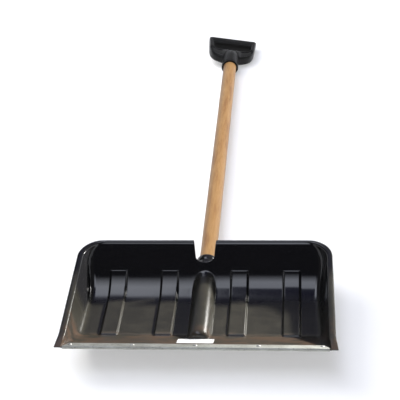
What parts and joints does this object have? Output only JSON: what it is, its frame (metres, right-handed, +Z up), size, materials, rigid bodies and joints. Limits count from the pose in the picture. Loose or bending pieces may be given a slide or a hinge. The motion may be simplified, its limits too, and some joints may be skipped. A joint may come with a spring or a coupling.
{
  "type": "snow shovel",
  "caption": "Snow shovel with a wide moulded plastic scoop, metal wear strip on its leading edge, round wooden handle and plastic D-grip.",
  "frame": {"origin": "bottom centre of the bounding box of the shovel lying on its back with the hollow side up", "axes": "+Y along the handle from the scoop to the grip, +X across the scoop, +Z up out of the hollow side"},
  "size_m": [0.538, 1.3966, 0.0963],
  "materials": {
    "scoop_plastic": "glossy injection-moulded black plastic with fine scuffs",
    "grip_plastic": "satin black moulded plastic",
    "strip_metal": "plain rolled sheet, lightly scratched",
    "rivet_metal": "plain blind rivet",
    "screw_steel": "zinc plated",
    "handle_wood": "turned hardwood, thin satin varnish",
    "label_paper": "blank white sticker"
  },
  "bodies": {
    "root": {"scoop": "scoop_plastic", "wear_strip": "strip_metal", "strip_rivet_1": "rivet_metal", "strip_rivet_2": "rivet_metal", "strip_rivet_3": "rivet_metal", "strip_rivet_4": "rivet_metal", "strip_rivet_5": "rivet_metal", "handle": "handle_wood", "d_grip": "grip_plastic", "socket_screw_1": "screw_steel", "socket_screw_2": "screw_steel", "grip_screw": "screw_steel", "blank_label": "label_paper"}
  },
  "joints": []
}
